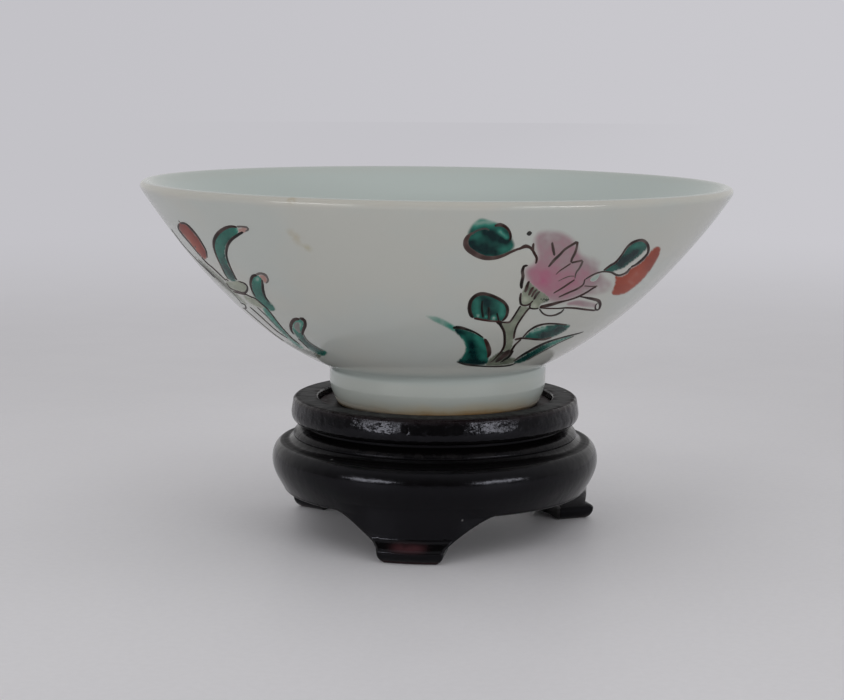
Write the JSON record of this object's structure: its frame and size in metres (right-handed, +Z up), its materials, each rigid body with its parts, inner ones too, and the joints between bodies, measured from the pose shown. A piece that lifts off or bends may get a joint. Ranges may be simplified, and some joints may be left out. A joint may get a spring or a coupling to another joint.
{
  "type": "porcelain cup on a wooden stand",
  "caption": "Wide flaring porcelain cup with a foot ring and enamelled flower sprays, resting in the recess of a turned and carved dark wooden stand, from which it lifts off.",
  "frame": {"origin": "on the table, under the middle of the stand", "axes": "+Z up; the front foot of the stand points to -Y, the other two to 30 and 150 degrees from +X"},
  "size_m": [0.1206, 0.1206, 0.0726],
  "materials": {
    "porcelain": "glossy, faintly green-grey clear glaze; the edge of the foot ring is unglazed and stained",
    "lacquered_wood": "black-brown lacquer over hardwood, glossy, with fine turning lines and reddish wear on the edges",
    "enamel_green": "glossy raised blue-green enamel",
    "enamel_pale_green": "glossy thin pale green enamel",
    "enamel_rose": "satin rose enamel that fades to white",
    "enamel_red": "satin iron red",
    "enamel_outline": "thin dark red-brown drawing under the enamels"
  },
  "bodies": {
    "stand": {"stand_apron": "lacquered_wood", "stand_waist": "lacquered_wood", "stand_seat_board": "lacquered_wood", "stand_rim": "lacquered_wood"},
    "cup": {"cup": "porcelain"}
  },
  "joints": [
    {"name": "cup_lift", "type": "slide", "parent": "stand", "child": "cup", "axis": [0, 0, 1], "range_m": [0, 0.06]}
  ]
}
